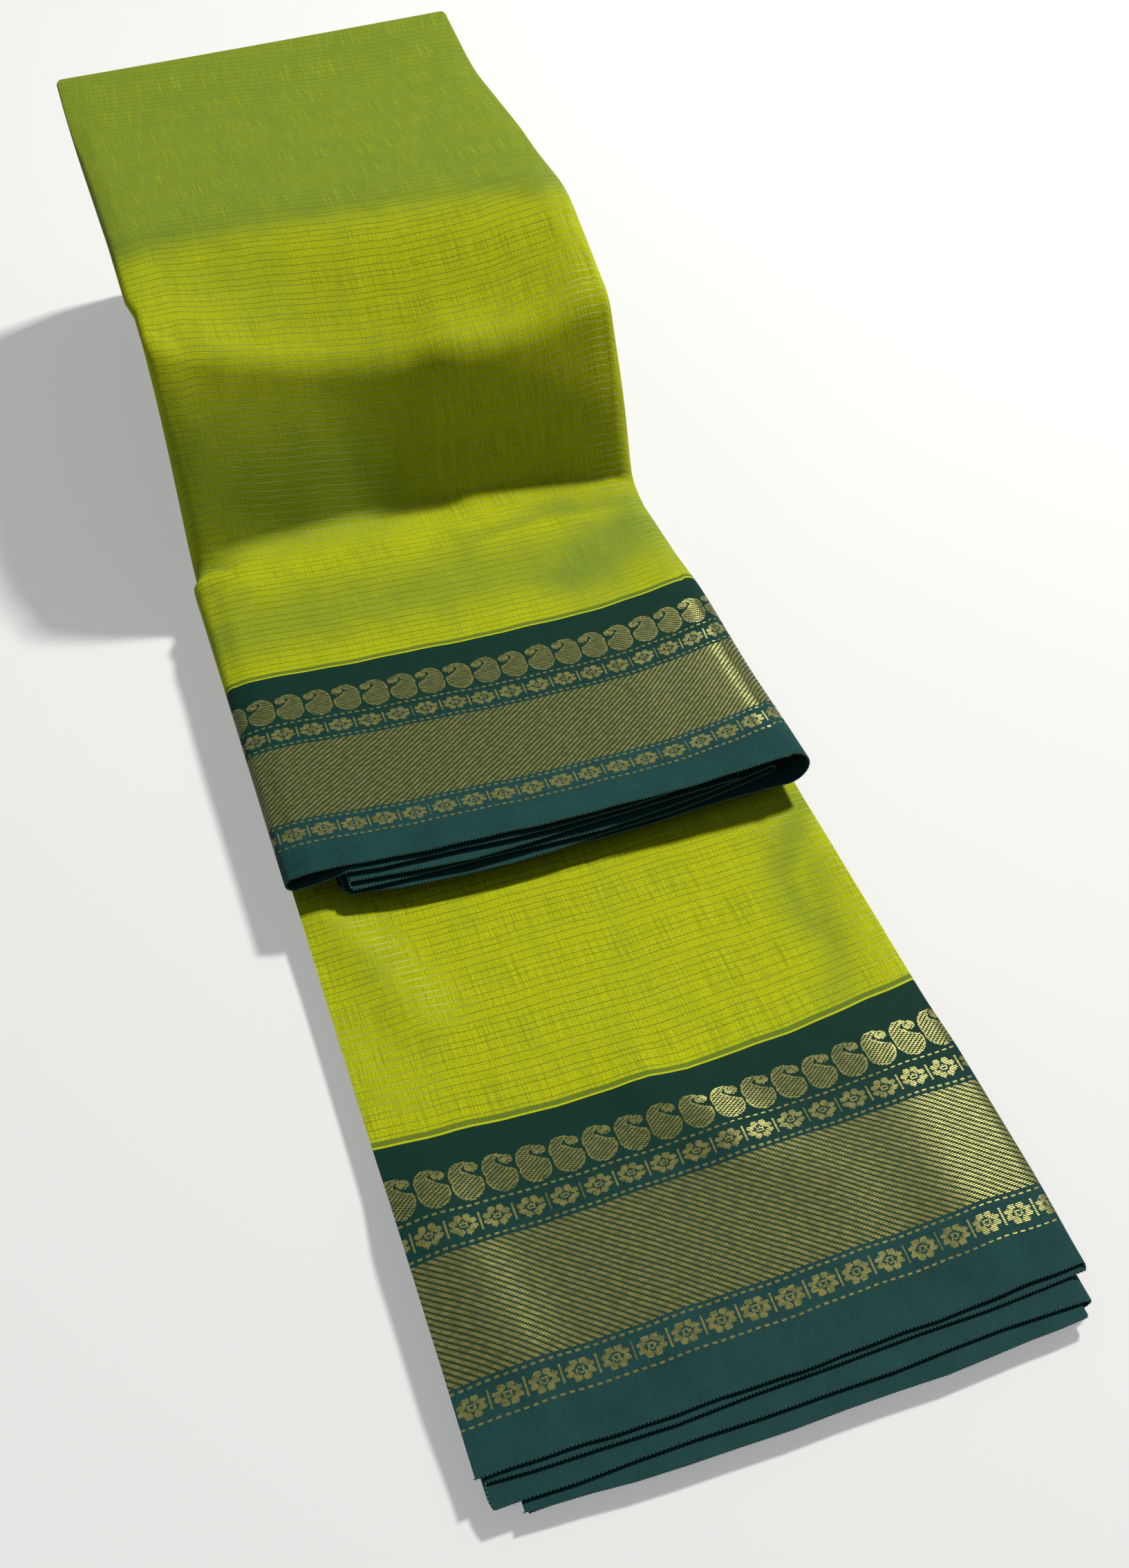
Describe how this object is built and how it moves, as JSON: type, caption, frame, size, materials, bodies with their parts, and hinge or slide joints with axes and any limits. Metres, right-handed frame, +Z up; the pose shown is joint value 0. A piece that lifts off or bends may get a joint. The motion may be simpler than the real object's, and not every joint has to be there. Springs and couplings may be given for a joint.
{
  "type": "folded cotton sari",
  "caption": "Lime-green cotton sari folded lengthwise into a flat strip and doubled over a soft hump, with teal and gold borders, to drape, wear or display",
  "frame": {"origin": "on the resting face, on the underside of the lowest layer, under the middle of the strip", "axes": "X runs across the strip from its left edge to its right, Y runs along it from the two open ends towards the far fold, Z points up"},
  "size_m": [0.1965, 0.6663, 0.1221],
  "materials": {
    "cotton_lime_green": "matt handloom cotton with a teal border woven with gold"
  },
  "bodies": {
    "root": {"sari_cloth": "cotton_lime_green"}
  },
  "joints": []
}
